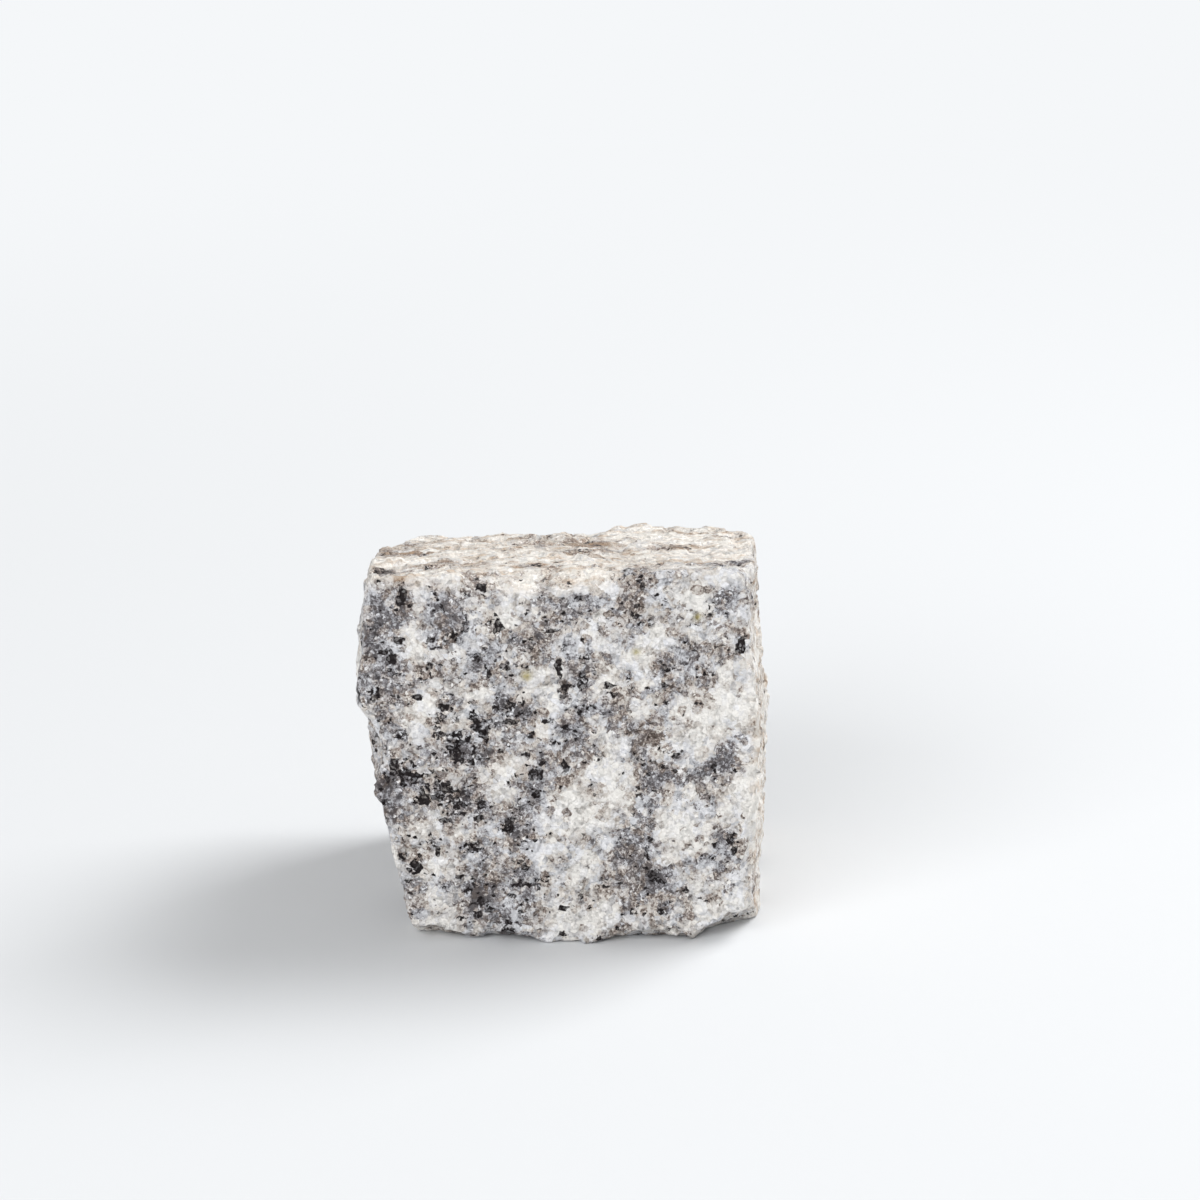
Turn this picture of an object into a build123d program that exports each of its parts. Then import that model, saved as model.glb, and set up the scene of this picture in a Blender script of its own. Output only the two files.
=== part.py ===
"""One hand-split granite sett, a rough cube about 70 mm across.

It is a single piece of stone. Six breaks make its sides and its top, each a surface that is
crowned or hollow and wanders a little, and is covered in the shallow hollows of small flakes,
with ridges between them. Rough bevels run along some of the arrises, and flakes knocked off
the others leave deeper scoops. The bed that it lies on is flat. X runs across the front face,
Y from front to back, and Z up.
"""

import os
from math import cos, sin
from random import Random

from build123d import *

# The raw block, larger than the sett on every side but the bed
RAW_WIDTH = 90
RAW_DEPTH = 80
RAW_HEIGHT = 80

# Where the middle of each break stands, in mm from the middle of the bed
FRONT_Y = -29.9
BACK_Y = 29.3
UPPER_LEFT_X = -35.7
LOWER_LEFT_X = -32.5
RIGHT_X = 34.9
TOP_Z = 59.6

# How far a break wanders from its crown, and its waves, in mm and in mm per radian
RELIEF = 0.45
LONG_WAVE = 11.0
SHORT_WAVE = 5.5
SHORT_SHARE = 0.5
# A break with a crown of 1 falls away by 1 mm this far from its middle
CROWN_REACH = 32.0

# The net of points that each break is drawn through
NET_STEP = 9.0
NET_REACH = 7

# The breaks that are covered in hollows, and how far apart the hollows lie, in mm
HOLLOWED = ("front", "back", "upper left", "lower left", "right", "top")
HOLLOW_STEP = 13.0
HOLLOW_ROWS = 2
HOLLOW_COLUMNS = 3
# How far a hollow strays from its even place, as a share of the step
HOLLOW_STRAY = 0.3
# The least and most that a hollow reaches from its middle, and its least and most depth
HOLLOW_REACHES = (9.0, 13.0)
HOLLOW_DEPTHS = (0.4, 1.1)
# The lowest and highest place of a hollow's middle, which keep it off the bed
HOLLOW_LOW = (-37, -34, 3)
HOLLOW_HIGH = (37, 34, 63)

# Each break: its middle, the way it faces, its crown in mm, and where its waves start
BREAKS = {
    "front": ((0, FRONT_Y, 30), (0.01, -1, 0.01), 0.7, 0.4),
    "back": ((0, BACK_Y, 32), (-0.05, 1, -0.05), 1.6, 2.3),
    "upper left": ((UPPER_LEFT_X, 0, 40), (-1, 0.03, 0.13), 1.4, 4.1),
    "lower left": ((LOWER_LEFT_X, 0, 29), (-1, 0.0, -0.22), 0.9, 1.2),
    "right": ((RIGHT_X, 2, 32), (1, -0.02, 0.03), 2.0, 3.0),
    "top": ((0, 0, TOP_Z), (-0.02, 0.19, 1), 0.0, 5.2),
    "arris between front and top": ((0, -29, 64.6), (0, -1, 1), 1.0, 0.9),
    "arris between front and left": ((-32.5, -29, 44), (-1, -1, 0), 0.6, 2.9),
    "arris between front and right": ((33, -29, 30), (1, -1, 0), 0.8, 4.7),
    "arris between top and right": ((33.7, 0, 60.7), (1, 0, 1), 1.2, 1.7),
}

# Each flake lost from an arris: a point on the arris, the way the flake came off, the radius
# of the scoop it left, and how deep the scoop bites there
FLAKES = [
    # along the arris between the front and the top
    ((-5, -29, 64.8), (0.05, -0.35, 1), 58, 3.2),
    # below the waist on the left
    ((-32.6, -24, 35), (-1, -0.2, -0.2), 11, 2.6),
    ((-33, -9, 34), (-1, 0, -0.1), 18, 2.8),
    ((-32, 14, 31), (-1, 0.3, 0.1), 30, 1.6),
    # the upright arris between the front and the right
    ((31.5, -28, 12), (0.75, -0.7, 0), 34, 1.4),
    # low on the right
    ((35, -6, 12), (1, 0, -0.2), 40, 1.8),
    # round the bed
    ((-20, -29, 0), (-0.2, -0.4, -1), 30, 2.0),
    ((-9, -29, 0), (-0.1, -0.5, -1), 34, 1.3),
    ((13, -29, 0), (0.1, -0.5, -1), 28, 1.7),
    ((31, -29, 0), (0.45, -0.4, -1), 30, 5.6),
    ((34, 6, 0), (0.7, 0.1, -0.8), 40, 1.6),
    ((-27, 8, 0), (-0.8, 0, -0.7), 36, 1.6),
    ((4, 28, 0), (0, 0.8, -0.7), 42, 3.0),
    # the far side of the top
    ((-32, 28, 55), (-0.9, 0.4, 0.5), 44, 8.0),
    ((34, 28, 53), (0.8, 0.65, 0.35), 40, 5.2),
    ((4, 29, 55), (0, 0.9, 0.6), 45, 1.8),
    # the upright arrises at the back
    ((-30, 28, 20), (-0.7, 0.7, 0), 36, 3.0),
    ((34, 28, 24), (0.7, 0.7, 0.1), 34, 2.8),
]


def wander(u, v, crown, start):
    """Height of a break above its mean plane, u and v mm from its middle."""
    crowned = -crown * (u * u + v * v) / CROWN_REACH**2
    long_swell = sin(u / LONG_WAVE + start) * cos(v / LONG_WAVE - 2 * start)
    short_swell = sin((u + 0.6 * v) / SHORT_WAVE + 3 * start) * cos((v - 0.4 * u) / SHORT_WAVE)
    return crowned + RELIEF * (long_swell + SHORT_SHARE * short_swell)


def broken_face(middle, facing, crown, start):
    """The surface that a break follows through the whole block."""
    mean = Plane(origin=middle, z_dir=facing)
    steps = [NET_STEP * i for i in range(-NET_REACH, NET_REACH + 1)]
    net = [
        [mean.from_local_coords((u, v, wander(u, v, crown, start))) for u in steps] for v in steps
    ]
    return Face.make_surface_from_array_of_points(net)


def hollows(middle, facing, crown, start, chance):
    """The places and radii of the balls that would fill the hollows of one break."""
    mean = Plane(origin=middle, z_dir=facing)
    balls = []
    for row in range(-HOLLOW_ROWS, HOLLOW_ROWS + 1):
        for column in range(-HOLLOW_COLUMNS, HOLLOW_COLUMNS + 1):
            across = column + 0.5 * (row % 2) + chance.uniform(-HOLLOW_STRAY, HOLLOW_STRAY)
            along = row + chance.uniform(-HOLLOW_STRAY, HOLLOW_STRAY)
            u, v = HOLLOW_STEP * across, HOLLOW_STEP * along
            skin = wander(u, v, crown, start)
            depth = chance.uniform(*HOLLOW_DEPTHS)
            radius = chance.uniform(*HOLLOW_REACHES) ** 2 / (2 * depth)
            spot = mean.from_local_coords((u, v, skin))
            if all(low < x < high for low, x, high in zip(HOLLOW_LOW, spot, HOLLOW_HIGH)):
                ball = mean.from_local_coords((u, v, skin + radius - depth))
                # The ball's poles are turned away from the stone
                balls.append((Plane(origin=ball, x_dir=mean.z_dir, z_dir=mean.x_dir), radius))
    return balls


with BuildPart() as sett:
    Box(RAW_WIDTH, RAW_DEPTH, RAW_HEIGHT, align=(Align.CENTER, Align.CENTER, Align.MIN))
    for middle, facing, crown, start in BREAKS.values():
        split(bisect_by=broken_face(middle, facing, crown, start), keep=Keep.TOP)
    chance = Random(4)
    for name in HOLLOWED:
        for ball, radius in hollows(*BREAKS[name], chance):
            with Locations(ball):
                Sphere(radius, mode=Mode.SUBTRACT)
    for arris, way_off, radius, bite in FLAKES:
        scoop = Vector(*arris) + Vector(*way_off).normalized() * (radius - bite)
        with Locations(scoop):
            Sphere(radius, mode=Mode.SUBTRACT)

sett.part.label = "sett"
os.makedirs("parts", exist_ok=True)
export_step(sett.part, "parts/sett.step")
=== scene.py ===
"""A rough hand-split granite sett, and the plain stage that it stands on."""

from math import pi, radians
from types import SimpleNamespace

import bpy
import numpy as np
from bpy.props import FloatProperty, FloatVectorProperty, PointerProperty
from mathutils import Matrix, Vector


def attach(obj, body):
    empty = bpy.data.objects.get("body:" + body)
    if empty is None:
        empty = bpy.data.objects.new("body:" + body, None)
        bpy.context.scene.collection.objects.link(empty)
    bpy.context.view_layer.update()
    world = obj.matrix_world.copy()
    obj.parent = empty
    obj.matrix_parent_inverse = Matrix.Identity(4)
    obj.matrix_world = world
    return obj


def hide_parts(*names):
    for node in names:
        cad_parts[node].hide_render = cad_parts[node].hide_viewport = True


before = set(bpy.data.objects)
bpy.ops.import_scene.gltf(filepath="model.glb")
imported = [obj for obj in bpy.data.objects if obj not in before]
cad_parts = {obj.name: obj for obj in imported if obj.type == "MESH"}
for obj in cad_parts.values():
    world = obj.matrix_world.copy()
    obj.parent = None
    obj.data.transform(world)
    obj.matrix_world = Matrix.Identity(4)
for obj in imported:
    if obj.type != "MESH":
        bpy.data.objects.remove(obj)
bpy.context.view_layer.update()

bl_info = {
    "name": "Granite sett",
    "version": (1, 0, 0),
    "blender": (4, 5, 0),
    "location": "3D View > Sidebar > Sett",
    "description": "Dresses the solid of a split granite sett with its crystals, and lights it",
    "category": "Object",
}

MM = 0.001
# Points of the solid's mesh closer than this are one point, in mm
WELD = 0.01

# How edges are bent: width of the bends and their reach in mm, octaves and roughness
HACKLE_BEND = (4.0, 2.0, 2.0, 0.5)
CRYSTAL_BEND = (3.3, 5.0, 4.0, 0.6)
GRAIN_BEND = (0.9, 0.7, 2.0, 0.5)
MICA_BEND = (0.9, 0.8, 2.0, 0.5)
# How far one flat step stands above the next, in mm
HACKLE_STEP = 0.1

# What mottles the stone: width in mm, octaves and roughness. Real grit is about 0.1 mm wide,
# and is drawn coarser so that it shows
GATHERING = (9.09, 2.0, 0.5)
CLOUDS = (1.25, 4.0, 0.65)
GRIT = (0.2778, 2.0, 0.7)
STREAKS = (2.222, 4.0, 0.65)
FIBRES = (1.0, 3.0, 0.6)
PITTING = (0.6667, 2.0, 0.5)
# Streaks are long in X, and fibres along an axis that turns from crystal to crystal
STREAK_SQUEEZE = (0.25, 1.0, 1.0)
FIBRE_SQUEEZE = (2.2, 2.2, 0.5)
# Width of a crumb of crushed stone as a share of a grain's
CRUMB_SHARE = 0.42
# How far two crystals run into each other at their boundary
MILKINESS = 0.25

# How flakes of mica and grains of quartz lie: share of the width, squeeze along X, Y and Z, turn
MICA_LAYERS = ((1.7, (1, 1, 0.6), 0.6), (1.0, (0.55, 1, 1), 2.1), (0.5, (0.7, 0.7, 1), 1.2))
QUARTZ_LAYERS = ((1.0, (1, 1, 0.8), 0.3), (0.75, (0.8, 1, 1), 1.7))
LAYER_TILT = 0.4
# How much of its cell the smallest and the largest of them fill
MICA_REACHES = (0.3, 0.8)
QUARTZ_REACHES = (0.3, 0.7)
# Where the blurred edge of one of them begins and ends, as shares of its cell from the edge in
GRAIN_EDGES = (-0.02, 0.06)

# Where dark, middling, light and white stone stand on the scale of lightness
RUN_PLACES = (0.20, 0.41, 0.58, 0.90)
# Roughness of the glassiest and of the dullest broken face
ROUGHNESSES = (0.22, 0.7)
# Specular level of feldspar and quartz, and of mica
SPECULAR_LEVELS = (0.5, 0.2)

# A place's level is its height in mm, brought to Y = 0 along the top, which falls towards the
# back by this slope. Up to the first level the stone is fresh, and past the second weathered
TOP_SLOPE = 0.19
TOP_LEVELS = (55.5, 58.5)
# The fresh break runs on over the top right of this X, up to a ridge with this slant, and the
# ridge is blurred between these places of Y
RIDGE_START = 5.0
RIDGE_SLANT = 0.95
RIDGE_EDGES = (-31.5, -29.5)
# Where the right and back faces begin to be weathered and where they are wholly so, in mm
WEATHERED_SIDES = (("X", 30.5, 32.5), ("Y", 25.0, 28.0))
# Where the left face begins to be bruised pale by blows and where it is wholly so, X in mm
STRUCK_EDGES = (-31.0, -33.5)

# How many steps of the mesh the bruise along an arris reaches
BRUISE_REACH = 4
# How much shorter the mean normal is where a bruise begins, and how much more where it is full
BRUISE_START = 0.02
BRUISE_SPAN = 0.15

# Where the front face ends, Y in mm, and how far in front of that it is wholly the front face
FRONT_END = -24.0
FRONT_BLEND = 3.0
# How much paler the front face gets for each mm to the right
FRONT_DRIFT = 0.012
# Where dark minerals gather on the front face: across, up and half width of each patch, in mm
DARK_PATCHES = (
    (1.0, 58.2, 1.7), (28.0, 51.8, 2.6), (21.7, 52.0, 1.5), (5.5, 48.4, 2.2), (-14.0, 49.8, 1.7),
    (-23.0, 47.5, 1.7), (-20.3, 52.6, 1.0), (-8.0, 54.2, 1.4), (17.5, 60.0, 2.4), (12.5, 56.0, 1.5),
    (28.0, 61.5, 1.2), (17.0, 43.0, 1.6), (-26.2, 60.8, 1.2), (-29.5, 51.8, 1.2),
    (-8.5, 40.4, 1.7), (-6.0, 40.8, 1.2), (-11.0, 41.6, 1.1), (-3.0, 42.4, 1.4), (5.0, 42.2, 1.5),
    (-20.0, 40.0, 1.3), (-20.6, 37.2, 1.5), (-16.8, 36.6, 1.8), (-13.8, 38.8, 1.4), (-14.4, 32.6, 2.2),
    (-18.0, 33.6, 1.6), (-25.4, 29.0, 2.0), (-22.0, 30.2, 1.1), (0.4, 38.0, 1.5), (2.2, 36.4, 1.5),
    (-1.6, 35.4, 1.2), (-3.2, 32.6, 1.2), (-4.9, 30.0, 2.1), (-4.4, 26.4, 1.3), (-5.4, 36.6, 1.1),
    (4.4, 27.8, 1.7), (15.0, 31.0, 1.3), (12.6, 27.6, 1.4), (19.4, 33.0, 1.1), (26.4, 30.4, 1.4),
    (30.0, 31.0, 1.5), (-20.5, 27.0, 2.4), (-16.8, 25.4, 2.0), (-13.0, 24.0, 1.6), (-19.0, 21.4, 1.3),
    (-6.8, 17.6, 1.5), (-7.4, 10.6, 2.2), (-5.6, 13.8, 1.5), (-24.6, 13.0, 1.6), (-27.0, 15.2, 1.2),
    (-20.8, 5.0, 1.3), (-14.0, 7.2, 2.2), (-9.0, 2.2, 1.9), (9.0, 17.6, 1.4), (12.2, 16.2, 2.1),
    (17.0, 10.8, 2.1), (14.6, 12.4, 1.7), (6.6, 11.0, 1.5), (11.0, 6.0, 1.4), (4.6, 6.4, 1.2),
    (27.0, 17.6, 1.8), (27.0, 14.4, 1.9), (24.0, 7.8, 1.4),
)
# Where large pale feldspars lie on the front face, in the same way
PALE_PATCHES = (
    (2.6, 22.4, 2.9), (20.5, 17.6, 3.4), (24.4, 34.0, 3.0), (24.0, 27.6, 2.4), (-10.0, 31.0, 2.4),
    (-10.0, 36.0, 2.2), (-25.0, 38.0, 2.4), (6.0, 3.6, 3.2), (-20.0, 2.6, 2.6), (15.5, 53.0, 2.6),
    (3.8, 55.0, 2.0), (29.5, 42.5, 2.6), (12.0, 41.5, 2.4), (14.0, 36.5, 2.4), (9.0, 36.0, 2.4),
    (-14.0, 43.6, 2.0), (-4.0, 47.0, 2.4), (22.0, 60.0, 2.6), (-26.0, 21.5, 2.2), (-3.0, 13.0, 2.0),
    (2.0, 12.0, 2.4), (-24.0, 51.0, 1.8), (-16.0, 56.5, 2.2), (12.0, 50.0, 2.2), (30.0, 24.0, 2.0),
    (20.5, 30.0, 2.8), (16.0, 35.5, 2.4), (25.0, 12.0, 2.2), (29.0, 5.0, 2.6),
)
# Where small spots of ochre lie on the front face, in the same way
OCHRE_SPOTS = ((-5.9, 47.2, 0.8), (22.3, 57.0, 0.6), (12.2, 51.2, 0.6))
# The black crystal on the top at its front left corner: X and Y of its middle, half its width
# along each, how much darker than a patch it is, and a level that is surely under the top
CORNER_MIDDLE = (-29.7, -16.5)
CORNER_REACHES = (1.5, 4.5)
CORNER_DARKNESS = 3.0
UNDER_TOP = 50.0

# The stage, in metres: the floor, and where it begins to fade to the backdrop and has become it
FLOOR_SIZE = 8.0
FADE_FROM = 0.10
FADE_TO = 0.50
KEY_PLACE = (0.85, 0.48, 1.05)
KEY_SIZE = 0.8
FILL_PLACE = (-0.60, -1.10, 0.75)
FILL_SIZE = 1.0
# The camera, which looks straight along Y and down by the tilt in degrees
CAMERA_PLACE = (0.00623, -1.02134, 0.39728)
CAMERA_TILT = 18.75
SENSOR_WIDTH = 36.0


def linear(hex_colour):
    """An sRGB hex colour as linear red, green, blue and alpha."""
    shares = [int(hex_colour[i:i + 2], 16) / 255 for i in (1, 3, 5)]
    curve = [s / 12.92 if s <= 0.04045 else ((s + 0.055) / 1.055) ** 2.4 for s in shares]
    return (*curve, 1.0)


def size(name, text, default, low=0.01, high=100.0):
    """A size in millimetres that a user can change."""
    return FloatProperty(name=name, description=text, default=default, min=low, max=high)


def colour(name, text, hex_colour):
    """A colour that a user can change."""
    return FloatVectorProperty(
        name=name, description=text, default=linear(hex_colour), subtype="COLOR", size=4, min=0, max=1
    )


def power(name, text, default):
    """The power of a lamp in watts, which a user can change."""
    return FloatProperty(name=name, description=text, default=default, unit="POWER")


class StoneSizes(bpy.types.PropertyGroup):
    """Sizes of the split stone, in millimetres."""

    mesh_step: size("Mesh step", "Spacing of the finished mesh, mm", 0.54)
    swell_length: size("Swell length", "Length of the long swells of a break, mm", 13.0)
    swell_height: size("Swell height", "Height of the long swells of a break, mm", 0.5)
    hackle_length: size("Hackle length", "Width of the flat steps that a break leaves, mm", 6.5)
    hackle_slope: size("Hackle slope", "How steeply those steps lean, as rise over run", 0.08)
    crystal: size("Crystal", "Width of a feldspar or quartz crystal, mm", 2.8)
    crystal_slope: size("Crystal slope", "How steeply a broken crystal leans, as rise over run", 0.18)
    crystal_step: size("Crystal step", "How far one crystal stands above the next, mm", 0.11)
    grain: size("Grain", "Width of the small grains between the crystals, mm", 1.0)
    grain_height: size("Grain height", "Height of the small grains, mm", 0.16)
    mica: size("Mica", "Spacing of the black mica flakes, mm", 1.3)
    quartz: size("Quartz", "Spacing of the grains of smoky quartz, mm", 2.3)


class StoneColours(bpy.types.PropertyGroup):
    """Colours of the minerals, in a cool, a warm and a weathered run from dark to light."""

    mica: colour("Biotite", "Black mica", "#201A1B")
    rust: colour("Rust", "Film of rust along the streaks of the older faces", "#D3B08A")
    ochre: colour("Ochre", "Thick rust in a pit", "#BDAF74")
    cool_dark: colour("Dark quartz", "Quartz full of crushed mica", "#5F5B5D")
    cool_mid: colour("Grey quartz", "Glassy grey quartz", "#9B999D")
    cool_light: colour("Clear quartz", "Quartz that shows the feldspar behind it", "#C7C8CC")
    cool_white: colour("White feldspar", "Opaque feldspar with a cold cast", "#F3F3F6")
    warm_dark: colour("Dark smoky quartz", "Brown quartz full of crushed mica", "#62564F")
    warm_mid: colour("Smoky quartz", "Brown-grey quartz", "#A4968D")
    warm_light: colour("Dull feldspar", "Feldspar that has begun to weather", "#D0C8C0")
    warm_white: colour("Milky feldspar", "Opaque feldspar with a cream cast", "#F7F4EF")
    old_dark: colour("Weathered mica", "Crushed mica on the older faces", "#75645A")
    old_mid: colour("Weathered quartz", "Stained quartz on the older faces", "#B3A294")
    old_light: colour("Stained feldspar", "Feldspar with an ochre film", "#DCD1C4")
    old_white: colour("Bleached feldspar", "Feldspar bleached on the older faces", "#FBF6EE")


class StageSettings(bpy.types.PropertyGroup):
    """Floor, lamps and camera."""

    floor: colour("Floor", "Plain pale floor", "#DFE1E3")
    backdrop: colour("Backdrop", "What the floor fades to away from the stone", "#F5F7F9")
    key_power: power("Key lamp", "Power of the key lamp", 17.2)
    fill_power: power("Fill lamp", "Power of the fill lamp", 12.8)
    sky: FloatProperty(name="Sky", description="Strength of the even light from all round", default=0.40)
    lens: FloatProperty(name="Lens", description="Focal length, mm", default=191.3)


def add_node(tree, kind, sockets=None, **settings):
    """Adds one node with its settings. Each socket, by name or by number where names repeat, gets
    a value or a link. A node given for a socket stands for its first output in use, and a pair is
    a node and its output's name."""
    node = tree.nodes.new(kind)
    for name, value in settings.items():
        setattr(node, name, value)
    for name, value in (sockets or {}).items():
        if isinstance(value, bpy.types.Node):
            value = next(output for output in value.outputs if output.enabled)
        elif isinstance(value, tuple) and isinstance(value[0], bpy.types.Node):
            value = value[0].outputs[value[1]]
        if isinstance(value, bpy.types.NodeSocket):
            tree.links.new(value, node.inputs[name])
        else:
            node.inputs[name].default_value = value
    return node


def select_only(piece):
    """Leaves one object selected and active."""
    bpy.ops.object.select_all(action="DESELECT")
    piece.select_set(True)
    bpy.context.view_layer.objects.active = piece


def bent(tree, at, width, reach, octaves, roughness):
    """A place in mm, pushed about by a noise, so that the cells found there get ragged edges."""
    noise = add_node(
        tree, "ShaderNodeTexNoise",
        {"Vector": at, "Scale": 1 / width, "Detail": octaves, "Roughness": roughness},
    )
    centred = add_node(
        tree, "ShaderNodeVectorMath", {0: (noise, "Color"), 1: (0.5, 0.5, 0.5)}, operation="SUBTRACT"
    )
    return add_node(
        tree, "ShaderNodeVectorMath", {0: centred, 1: (reach, reach, reach), 2: at},
        operation="MULTIPLY_ADD",
    )


def leaning_faces(tree, at, cells, slope, step):
    """Height of each cell's broken face, which leans its own way and stands at its own level."""
    out = add_node(tree, "ShaderNodeVectorMath", {0: at, 1: (cells, "Position")}, operation="SUBTRACT")
    way = add_node(
        tree, "ShaderNodeVectorMath", {0: (cells, "Color"), 1: (0.5, 0.5, 0.5)}, operation="SUBTRACT"
    )
    rise = add_node(tree, "ShaderNodeVectorMath", {0: out, 1: way}, operation="DOT_PRODUCT")
    level = add_node(
        tree, "ShaderNodeVectorMath", {0: way, 1: (1.0, 1.0, 1.0)}, operation="DOT_PRODUCT"
    )
    # The way's parts run from -0.5 to 0.5, so with twice the slope a face leans by the slope at most
    leaned = add_node(tree, "ShaderNodeMath", {0: rise, 1: slope * 2}, operation="MULTIPLY")
    return add_node(tree, "ShaderNodeMath", {0: level, 1: step, 2: leaned}, operation="MULTIPLY_ADD")


def weighed(tree, start, terms):
    """A start value plus each term times its weight. A term is given as its source, its weight
    and the middle that is taken off it first, which is 0 where it isn't centred."""
    total = start
    for source, weight, middle in terms:
        if middle:
            source = add_node(tree, "ShaderNodeMath", {0: source, 1: middle}, operation="SUBTRACT")
        total = add_node(
            tree, "ShaderNodeMath", {0: source, 1: weight, 2: total}, operation="MULTIPLY_ADD"
        )
    return total


def split_relief(sizes):
    """The geometry nodes that raise the broken crystals out of a smooth stone."""
    tree = bpy.data.node_groups.new("split relief", "GeometryNodeTree")
    tree.interface.new_socket("Geometry", in_out="INPUT", socket_type="NodeSocketGeometry")
    tree.interface.new_socket("Geometry", in_out="OUTPUT", socket_type="NodeSocketGeometry")
    smooth_stone = add_node(tree, "NodeGroupInput")
    place = add_node(tree, "GeometryNodeInputPosition")
    at = add_node(tree, "ShaderNodeVectorMath", {0: place, "Scale": 1 / MM}, operation="SCALE")
    hackle, crystals = (
        add_node(tree, "ShaderNodeTexVoronoi", {"Vector": bent(tree, at, *bend), "Scale": 1 / width})
        for bend, width in ((HACKLE_BEND, sizes.hackle_length), (CRYSTAL_BEND, sizes.crystal))
    )
    swell, grain = (
        add_node(tree, "ShaderNodeTexNoise", {"Vector": at, "Scale": 1 / width, "Detail": 2.0})
        for width in (sizes.swell_length, sizes.grain)
    )
    height = weighed(tree, 0.0, (
        (leaning_faces(tree, at, hackle, sizes.hackle_slope, HACKLE_STEP), 1.0, 0),
        (leaning_faces(tree, at, crystals, sizes.crystal_slope, sizes.crystal_step), 1.0, 0),
        (swell, sizes.swell_height * 2, 0.5),
        (grain, sizes.grain_height * 2, 0.5),
    ))
    metres = add_node(tree, "ShaderNodeMath", {0: height, 1: MM}, operation="MULTIPLY")
    normal = add_node(tree, "GeometryNodeInputNormal")
    offset = add_node(tree, "ShaderNodeVectorMath", {0: normal, "Scale": metres}, operation="SCALE")
    raised = add_node(tree, "GeometryNodeSetPosition", {"Geometry": smooth_stone, "Offset": offset})
    add_node(tree, "NodeGroupOutput", {"Geometry": raised})
    return tree


def older_faces(tree, where):
    """How far a place is on a face that weathered before the front was split: 0 or 1, and between."""
    level = add_node(
        tree, "ShaderNodeMath", {0: (where, "Y"), 1: TOP_SLOPE, 2: (where, "Z")},
        operation="MULTIPLY_ADD",
    )
    high = add_node(
        tree, "ShaderNodeMapRange",
        {"Value": level, "From Min": TOP_LEVELS[0], "From Max": TOP_LEVELS[1]},
    )
    past = add_node(tree, "ShaderNodeMath", {0: (where, "X"), 1: RIDGE_START}, operation="SUBTRACT")
    past = add_node(tree, "ShaderNodeMath", {0: past, 1: 0.0}, operation="MAXIMUM")
    behind = add_node(
        tree, "ShaderNodeMath", {0: past, 1: -RIDGE_SLANT, 2: (where, "Y")}, operation="MULTIPLY_ADD"
    )
    behind = add_node(
        tree, "ShaderNodeMapRange",
        {"Value": behind, "From Min": RIDGE_EDGES[0], "From Max": RIDGE_EDGES[1]},
    )
    old = add_node(tree, "ShaderNodeMath", {0: high, 1: behind}, operation="MULTIPLY")
    for side, fresh, weathered in WEATHERED_SIDES:
        there = add_node(
            tree, "ShaderNodeMapRange",
            {"Value": (where, side), "From Min": fresh, "From Max": weathered},
        )
        old = add_node(tree, "ShaderNodeMath", {0: old, 1: there}, operation="MAXIMUM")
    return old


def scattered(tree, place, likely, width, layers, reaches, metric):
    """Where grains of one mineral lie, 1 inside a grain. Each layer has its own share of the
    width, squeeze along each axis and turn, and a grain reaches a share of its cell."""
    found = 0.0
    for share, squeeze, turn in layers:
        laid = add_node(tree, "ShaderNodeMapping", {
            "Vector": place,
            "Rotation": (turn, LAYER_TILT, turn),
            "Scale": [s / (width * share) for s in squeeze],
        })
        cells = add_node(tree, "ShaderNodeTexVoronoi", {"Vector": laid, "Scale": 1.0}, distance=metric)
        parts = add_node(tree, "ShaderNodeSeparateColor", {"Color": (cells, "Color")})
        chosen = add_node(tree, "ShaderNodeMath", {0: (parts, "Red"), 1: likely}, operation="LESS_THAN")
        reach = add_node(
            tree, "ShaderNodeMapRange",
            {"Value": (parts, "Green"), "To Min": reaches[0], "To Max": reaches[1]},
        )
        inside = add_node(
            tree, "ShaderNodeMath", {0: reach, 1: (cells, "Distance")}, operation="SUBTRACT"
        )
        edge = add_node(
            tree, "ShaderNodeMapRange",
            {"Value": inside, "From Min": GRAIN_EDGES[0], "From Max": GRAIN_EDGES[1]},
        )
        grain = add_node(tree, "ShaderNodeMath", {0: edge, 1: chosen}, operation="MULTIPLY")
        found = add_node(tree, "ShaderNodeMath", {0: found, 1: grain}, operation="MAXIMUM")
    return found


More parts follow.
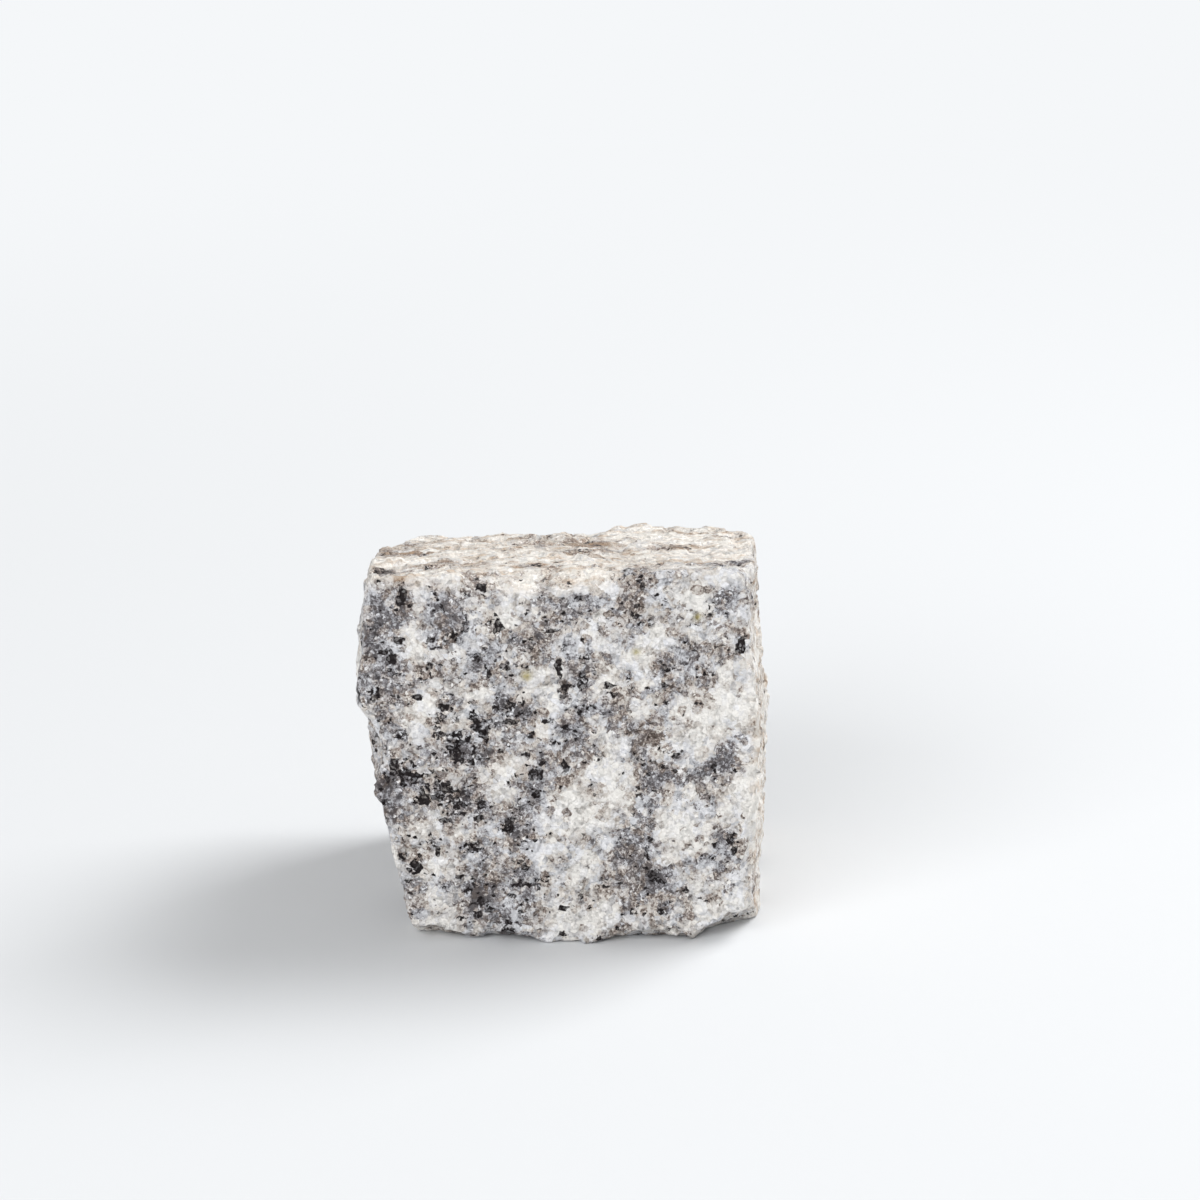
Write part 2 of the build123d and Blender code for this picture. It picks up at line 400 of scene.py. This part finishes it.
def make_up(tree, sizes):
    """What the stone is made of at each place: its cells, its mottling and the marks on its mesh."""
    coordinates = add_node(tree, "ShaderNodeTexCoord")
    at = add_node(
        tree, "ShaderNodeVectorMath", {0: (coordinates, "Object"), "Scale": 1 / MM}, operation="SCALE"
    )
    crystal_place = bent(tree, at, *CRYSTAL_BEND)
    grain_place = bent(tree, at, *GRAIN_BEND)
    # The boundary between two crystals is a little milky, because light gets into them
    crystals = add_node(
        tree, "ShaderNodeTexVoronoi",
        {"Vector": crystal_place, "Scale": 1 / sizes.crystal, "Smoothness": MILKINESS},
        feature="SMOOTH_F1",
    )
    grains, crumbs = (
        add_node(tree, "ShaderNodeTexVoronoi", {"Vector": grain_place, "Scale": 1 / width})
        for width in (sizes.grain, sizes.grain * CRUMB_SHARE)
    )
    crystal, grain, crumb = (
        add_node(tree, "ShaderNodeSeparateColor", {"Color": (cells, "Color")})
        for cells in (crystals, grains, crumbs)
    )
    along = add_node(tree, "ShaderNodeMapping", {"Vector": at, "Scale": STREAK_SQUEEZE})
    angle = add_node(tree, "ShaderNodeMath", {0: (crystal, "Blue"), 1: 2 * pi}, operation="MULTIPLY")
    turned = add_node(
        tree, "ShaderNodeVectorRotate", {"Vector": at, "Axis": (crystals, "Color"), "Angle": angle}
    )
    drawn = add_node(tree, "ShaderNodeMapping", {"Vector": turned, "Scale": FIBRE_SQUEEZE})
    mottling = [
        add_node(
            tree, "ShaderNodeTexNoise",
            {"Vector": place, "Scale": 1 / width, "Detail": octaves, "Roughness": roughness},
        )
        for place, (width, octaves, roughness) in (
            (at, GATHERING), (at, CLOUDS), (at, GRIT), (along, STREAKS), (drawn, FIBRES),
            (at, PITTING),
        )
    ]
    marks = [
        (add_node(tree, "ShaderNodeAttribute", attribute_name=name), "Fac")
        for name in ("patches", "bruise", "ochre")
    ]
    where = add_node(tree, "ShaderNodeSeparateXYZ", {"Vector": crystal_place})
    struck = add_node(
        tree, "ShaderNodeMapRange",
        {"Value": (where, "X"), "From Min": STRUCK_EDGES[0], "From Max": STRUCK_EDGES[1]},
    )
    names = ("gathering", "clouds", "grit", "streaks", "fibres", "pitting", "patches", "bruise", "ochre")
    return SimpleNamespace(
        at=at, grain_place=grain_place, grains=grains, crumbs=crumbs, crystal=crystal, grain=grain,
        crumb=crumb, struck=struck, old=older_faces(tree, where), **dict(zip(names, mottling + marks)),
    )


def lightness(tree, stone, sizes):
    """How light the stone is at each place, with painted glints on a few crumbs, where smoky quartz lies,
    and where mica may gather.
    """
    light = weighed(tree, 0.60, (
        ((stone.crystal, "Red"), 0.36, 0.5),
        ((stone.grain, "Red"), 0.24, 0.5),
        (stone.gathering, 1.55, 0.5),
        (stone.clouds, 0.5, 0.5),
        (stone.fibres, 0.6, 0.5),
        (stone.patches, 0.27, 0),
        (stone.bruise, 0.09, 0),
        (stone.struck, 0.11, 0),
        (stone.old, 0.10, 0),
    ))
    # Smoky quartz lies as round grains in the feldspar, more where the stone is dark
    smoky = add_node(
        tree, "ShaderNodeMapRange",
        {"Value": light, "From Min": 0.80, "From Max": 0.48, "To Min": 0.06, "To Max": 0.7},
    )
    smoky = weighed(tree, smoky, (
        (stone.old, -0.35, 0),
        (stone.struck, -0.3, 0),
        (stone.bruise, -0.2, 0),
    ))
    quartz = scattered(
        tree, stone.grain_place, smoky, sizes.quartz, QUARTZ_LAYERS, QUARTZ_REACHES, "EUCLIDEAN"
    )
    smoke = weighed(tree, 0.43, (
        (stone.clouds, 0.5, 0.5),
        ((stone.crystal, "Blue"), 0.24, 0.5),
        (stone.gathering, 0.5, 0.5),
    ))
    light = add_node(tree, "ShaderNodeMix", {"Factor": quartz, "A": light, "B": smoke})
    dimness = add_node(tree, "ShaderNodeMapRange", {"Value": light, "From Min": 0.62, "From Max": 0.36})
    # Salt and pepper: crushed grain, strong where the stone is grey and faint in white feldspar
    crushed = add_node(
        tree, "ShaderNodeMapRange",
        {"Value": light, "From Min": 0.40, "From Max": 0.70, "To Min": 1.0, "To Max": 0.15},
    )
    salt = weighed(tree, 0.0, (((stone.crumb, "Red"), 0.34, 0.5), (stone.grit, 1.1, 0.5)))
    salt = add_node(tree, "ShaderNodeMath", {0: salt, 1: crushed}, operation="MULTIPLY")
    # Painted glints: a few crumbs are painted paler in the colour, as highlights where they would catch
    # the light
    painted_glint = add_node(
        tree, "ShaderNodeMath", {0: (stone.crumb, "Green"), 1: 0.92}, operation="GREATER_THAN"
    )
    painted_glint = add_node(tree, "ShaderNodeMath", {0: painted_glint, 1: crushed}, operation="MULTIPLY")
    streak = add_node(tree, "ShaderNodeMath", {0: stone.streaks, 1: 0.5}, operation="SUBTRACT")
    streak = add_node(tree, "ShaderNodeMath", {0: streak, 1: stone.old}, operation="MULTIPLY")
    # The painted glints join the streaks and the salt and pepper in the lightness
    light = weighed(tree, light, ((streak, 1.2, 0), (salt, 1.0, 0), (painted_glint, 0.3, 0)))
    return light, quartz, dimness


def mineral_colours(tree, stone, light, quartz, colours):
    """The colours of feldspar and quartz, and of the films of rust and ochre over them."""
    runs = []
    for kind in ("cool", "warm", "old"):
        run = add_node(tree, "ShaderNodeValToRGB", {"Fac": light})
        shades = [getattr(colours, f"{kind}_{shade}") for shade in ("dark", "mid", "light", "white")]
        set_stops(run, zip(RUN_PLACES, shades))
        runs.append(run)
    cool, warm, old = runs
    warmth = weighed(tree, 0.5, (
        ((stone.crystal, "Green"), 1.1, 0.5),
        ((stone.grain, "Green"), 1.0, 0.5),
        (stone.gathering, 2.3, 0.5),
        (stone.patches, 0.35, 0),
        (quartz, 0.15, 0),
    ))
    stained = add_node(
        tree, "ShaderNodeMapRange", {"Value": (stone.grain, "Blue"), "To Min": 0.4, "To Max": 1.0}
    )
    stained = add_node(tree, "ShaderNodeMath", {0: stained, 1: stone.old}, operation="MULTIPLY")
    rust = add_node(
        tree, "ShaderNodeMapRange",
        {"Value": stone.streaks, "From Min": 0.50, "From Max": 0.34, "To Min": 0.0, "To Max": 0.38},
    )
    rust = add_node(tree, "ShaderNodeMath", {0: rust, 1: stone.old}, operation="MULTIPLY")
    ground = (cool, "Color")
    for share, over in (
        (warmth, (warm, "Color")), (stained, (old, "Color")), (rust, colours.rust),
        (stone.ochre, colours.ochre),
    ):
        mixed = add_node(
            tree, "ShaderNodeMix", {"Factor": share, "A": ground, "B": over}, data_type="RGBA"
        )
        ground = (mixed, "Result")
    return ground


def mica_flakes(tree, stone, dimness, sizes):
    """Where black mica lies: flakes that gather in dim stone, and a solid crystal in the middle
    of each dark patch."""
    likely = add_node(tree, "ShaderNodeMapRange", {"Value": dimness, "To Min": 0.03, "To Max": 0.20})
    likely = weighed(tree, likely, (
        (stone.patches, -0.12, 0),
        (stone.bruise, -0.05, 0),
        (stone.old, -0.05, 0),
        (stone.ochre, -0.3, 0),
    ))
    place = bent(tree, stone.at, *MICA_BEND)
    flakes = scattered(tree, place, likely, sizes.mica, MICA_LAYERS, MICA_REACHES, "MANHATTAN")
    middle = weighed(tree, 0.0, (
        (stone.patches, -1.0, 0),
        ((stone.grain, "Blue"), 0.5, 0.5),
        (stone.clouds, 0.6, 0.5),
    ))
    middle = add_node(tree, "ShaderNodeMapRange", {"Value": middle, "From Min": 0.94, "From Max": 0.99})
    black = add_node(tree, "ShaderNodeMath", {0: flakes, 1: middle}, operation="MAXIMUM")
    # Some crumbs of mica are split so thin that the stone shows through them
    thin = add_node(
        tree, "ShaderNodeMapRange",
        {"Value": (stone.crumb, "Red"), "From Min": 0.55, "From Max": 1.0, "To Min": 1.0, "To Max": 0.65},
    )
    return add_node(tree, "ShaderNodeMath", {0: black, 1: thin}, operation="MULTIPLY")


def granite(sizes, colours):
    """Granite, freshly split by hand: white and grey crystals with soft-glossy cleavage faces,
    flecked with black mica, rough to the eye and sparkling where a face catches the light, with
    some of its glints painted into the colour as pale crumbs."""
    material = bpy.data.materials.new("split granite")
    material.use_nodes = True
    tree = material.node_tree
    shader = tree.nodes["Principled BSDF"]
    stone = make_up(tree, sizes)
    light, quartz, dimness = lightness(tree, stone, sizes)
    ground = mineral_colours(tree, stone, light, quartz, colours)
    black = mica_flakes(tree, stone, dimness, sizes)
    flecked = add_node(
        tree, "ShaderNodeMix", {"Factor": black, "A": ground, "B": colours.mica}, data_type="RGBA"
    )
    # Relief too fine for the mesh: the broken faces of grains and crumbs, and a little pitting
    height = weighed(tree, 0.0, (
        (leaning_faces(tree, stone.at, stone.grains, 0.50, 0.10), 1.0, 0),
        (leaning_faces(tree, stone.at, stone.crumbs, 0.45, 0.03), 1.0, 0),
        (stone.pitting, 0.3, 0.5),
    ))
    bump = add_node(tree, "ShaderNodeBump", {"Height": height, "Strength": 1.0, "Distance": MM})
    specular = add_node(
        tree, "ShaderNodeMapRange",
        {"Value": black, "To Min": SPECULAR_LEVELS[0], "To Max": SPECULAR_LEVELS[1]},
    )
    dull = add_node(
        tree, "ShaderNodeMapRange",
        {"Value": (stone.grain, "Blue"), "To Min": ROUGHNESSES[0], "To Max": ROUGHNESSES[1]},
    )
    for output, socket in (
        (flecked.outputs["Result"], "Base Color"), (bump.outputs["Normal"], "Normal"),
        (specular.outputs["Result"], "Specular IOR Level"), (dull.outputs["Result"], "Roughness"),
    ):
        tree.links.new(output, shader.inputs[socket])
    return material


def matt_floor(settings):
    """A matt pale floor that takes the shadow, and fades to an even white away from the stone."""
    material = bpy.data.materials.new("matt floor")
    material.use_nodes = True
    tree = material.node_tree
    shader = tree.nodes["Principled BSDF"]
    shader.inputs["Base Color"].default_value = settings.floor
    shader.inputs["Roughness"].default_value = 0.9
    place = add_node(tree, "ShaderNodeTexCoord")
    away = add_node(tree, "ShaderNodeVectorMath", {0: (place, "Object")}, operation="LENGTH")
    fade = add_node(
        tree, "ShaderNodeMapRange",
        {"Value": (away, "Value"), "From Min": FADE_FROM, "From Max": FADE_TO},
        interpolation_type="SMOOTHSTEP",
    )
    ray = add_node(tree, "ShaderNodeLightPath")
    seen = (ray, "Is Camera Ray")
    for kind in ("Is Glossy Ray", "Is Transmission Ray"):
        seen = add_node(tree, "ShaderNodeMath", {0: seen, 1: (ray, kind)}, operation="MAXIMUM")
    seen = add_node(tree, "ShaderNodeMath", {0: seen, 1: fade}, operation="MULTIPLY")
    white = add_node(tree, "ShaderNodeEmission", {"Color": settings.backdrop})
    mixed = add_node(tree, "ShaderNodeMixShader", {0: seen, 1: shader, 2: white})
    tree.links.new(mixed.outputs["Shader"], tree.nodes["Material Output"].inputs["Surface"])
    return material


def set_stops(ramp, stops):
    """Gives a colour ramp its stops, each a share of the way along and a colour."""
    elements = ramp.color_ramp.elements
    first, *others = stops
    while len(elements) > 1:
        elements.remove(elements[-1])
    elements[0].position, elements[0].color = first
    for share, tint in others:
        elements.new(share).color = tint


class SETT_OT_stone(bpy.types.Operator):
    """Splits the stone: copies the sett's solid, raises its crystals and gives it its granite"""

    bl_idname = "sett.stone"
    bl_label = "Stone"

    def execute(self, context):
        sizes = context.scene.sett_sizes
        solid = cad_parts["sett"]
        piece = bpy.data.objects.new("split_stone", solid.data.copy())
        context.scene.collection.objects.link(piece)
        piece.data.materials.clear()
        select_only(piece)
        bpy.ops.object.mode_set(mode="EDIT")
        bpy.ops.mesh.select_all(action="SELECT")
        bpy.ops.mesh.remove_doubles(threshold=WELD * MM)
        bpy.ops.object.mode_set(mode="OBJECT")
        even = piece.modifiers.new("even mesh", "REMESH")
        even.mode = "VOXEL"
        even.voxel_size = sizes.mesh_step * MM
        bpy.ops.object.modifier_apply(modifier=even.name)
        self.bruise_arrises(piece)
        relief = piece.modifiers.new("split relief", "NODES")
        relief.node_group = split_relief(sizes)
        bpy.ops.object.modifier_apply(modifier=relief.name)
        soften = piece.modifiers.new("worn edges", "SMOOTH")
        soften.factor = 0.5
        soften.iterations = 1
        bpy.ops.object.modifier_apply(modifier=soften.name)
        self.rest_on_floor(piece)
        self.gather_minerals(piece)
        bpy.ops.object.shade_smooth()
        piece.data.materials.append(granite(sizes, context.scene.sett_colours))
        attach(piece, "root")
        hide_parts("sett")
        return {"FINISHED"}

    def bruise_arrises(self, piece):
        """Marks the arrises, where the hammer crushed the stone white."""
        mesh = piece.data
        normals = np.zeros(len(mesh.vertices) * 3)
        mesh.vertices.foreach_get("normal", normals)
        normals = normals.reshape(-1, 3)
        ends = np.zeros(len(mesh.edges) * 2, dtype=int)
        mesh.edges.foreach_get("vertices", ends)
        first, second = ends.reshape(-1, 2).T
        for _ in range(BRUISE_REACH):
            spread = normals.copy()
            np.add.at(spread, first, normals[second])
            np.add.at(spread, second, normals[first])
            normals = spread / (1 + np.bincount(ends, minlength=len(normals)))[:, None]
        # Where the faces round a point look different ways, their mean normal is short
        turned = 1 - np.linalg.norm(normals, axis=1)
        self.mark(piece, "bruise", (turned - BRUISE_START) / BRUISE_SPAN)

    def mark(self, piece, name, values):
        """Gives each vertex a value that the stone's material reads."""
        layer = piece.data.attributes.new(name, "FLOAT", "POINT")
        layer.data.foreach_set("value", np.clip(values, -1, 1))

    def gather_minerals(self, piece):
        """Marks where dark minerals gather, below nought, and pale ones, above, with the front face
        made paler towards the right, and where there is ochre."""
        points = np.zeros(len(piece.data.vertices) * 3)
        piece.data.vertices.foreach_get("co", points)
        points = points.reshape(-1, 3) / MM
        front = np.clip((FRONT_END - points[:, 1]) / FRONT_BLEND, 0, 1)

        def spots(places):
            total = np.zeros(len(points))
            for across, up, half in places:
                away = np.hypot(points[:, 0] - across, points[:, 2] - up) / half
                total += front * np.exp(-(away**2))
            return total

        away = np.linalg.norm((points[:, :2] - CORNER_MIDDLE) / CORNER_REACHES, axis=1)
        corner = CORNER_DARKNESS * np.exp(-(away**2)) * (points[:, 2] > UNDER_TOP)
        drift = FRONT_DRIFT * front * points[:, 0]
        self.mark(piece, "patches", spots(PALE_PATCHES) - spots(DARK_PATCHES) - corner + drift)
        self.mark(piece, "ochre", spots(OCHRE_SPOTS))

    def rest_on_floor(self, piece):
        """Presses what would be under the floor flat against it."""
        bpy.ops.object.mode_set(mode="EDIT")
        bpy.ops.mesh.select_mode(type="VERT")
        bpy.ops.mesh.select_all(action="DESELECT")
        bpy.ops.object.mode_set(mode="OBJECT")
        for vertex in piece.data.vertices:
            vertex.select = vertex.co.z < 0
        bpy.ops.object.mode_set(mode="EDIT")
        bpy.ops.transform.resize(value=(1, 1, 0), center_override=(0, 0, 0))
        bpy.ops.object.mode_set(mode="OBJECT")


class SETT_OT_stage(bpy.types.Operator):
    """Lays the floor, hangs the lamps and sets up the camera"""

    bl_idname = "sett.stage"
    bl_label = "Stage"

    def execute(self, context):
        settings = context.scene.sett_stage
        bpy.ops.object.select_all(action="DESELECT")
        bpy.ops.mesh.primitive_plane_add(size=FLOOR_SIZE)
        floor = context.active_object
        floor.name = "floor"
        floor.data.materials.append(matt_floor(settings))
        for name, place, width, watts in (
            ("key", Vector(KEY_PLACE), KEY_SIZE, settings.key_power),
            ("fill", Vector(FILL_PLACE), FILL_SIZE, settings.fill_power),
        ):
            turn = place.to_track_quat("Z", "Y").to_euler()
            bpy.ops.object.light_add(type="AREA", location=place, rotation=turn)
            lamp = context.active_object
            lamp.name = name
            lamp.data.shape = "SQUARE"
            lamp.data.size = width
            lamp.data.energy = watts
        sky = bpy.data.worlds.new("even sky")
        sky.use_nodes = True
        back = sky.node_tree.nodes["Background"]
        back.inputs["Color"].default_value = (1, 1, 1, 1)
        back.inputs["Strength"].default_value = settings.sky
        context.scene.world = sky
        bpy.ops.object.camera_add(
            location=CAMERA_PLACE, rotation=(radians(90 - CAMERA_TILT), 0, 0)
        )
        camera = context.active_object
        camera.data.lens = settings.lens
        camera.data.sensor_width = SENSOR_WIDTH
        context.scene.camera = camera
        context.scene.view_settings.view_transform = "Standard"
        return {"FINISHED"}


class SETT_PT_panel(bpy.types.Panel):
    """The steps that make the sett, in order"""

    bl_label = "Granite sett"
    bl_idname = "SETT_PT_panel"
    bl_space_type = "VIEW_3D"
    bl_region_type = "UI"
    bl_category = "Sett"

    def draw(self, context):
        for step in STEPS:
            self.layout.operator(step.bl_idname)
        for group in (context.scene.sett_sizes, context.scene.sett_colours, context.scene.sett_stage):
            for name in group.__annotations__:
                self.layout.prop(group, name)


STEPS = (SETT_OT_stage, SETT_OT_stone)
GROUPS = {"sett_sizes": StoneSizes, "sett_colours": StoneColours, "sett_stage": StageSettings}


def register():
    for cls in (*GROUPS.values(), *STEPS, SETT_PT_panel):
        bpy.utils.register_class(cls)
    for name, group in GROUPS.items():
        setattr(bpy.types.Scene, name, PointerProperty(type=group))


def unregister():
    for name in GROUPS:
        delattr(bpy.types.Scene, name)
    for cls in reversed((*GROUPS.values(), *STEPS, SETT_PT_panel)):
        bpy.utils.unregister_class(cls)


def main():
    """Makes the sett and its stage."""
    register()
    bpy.ops.sett.stage()
    bpy.ops.sett.stone()


if __name__ == "__main__":
    main()
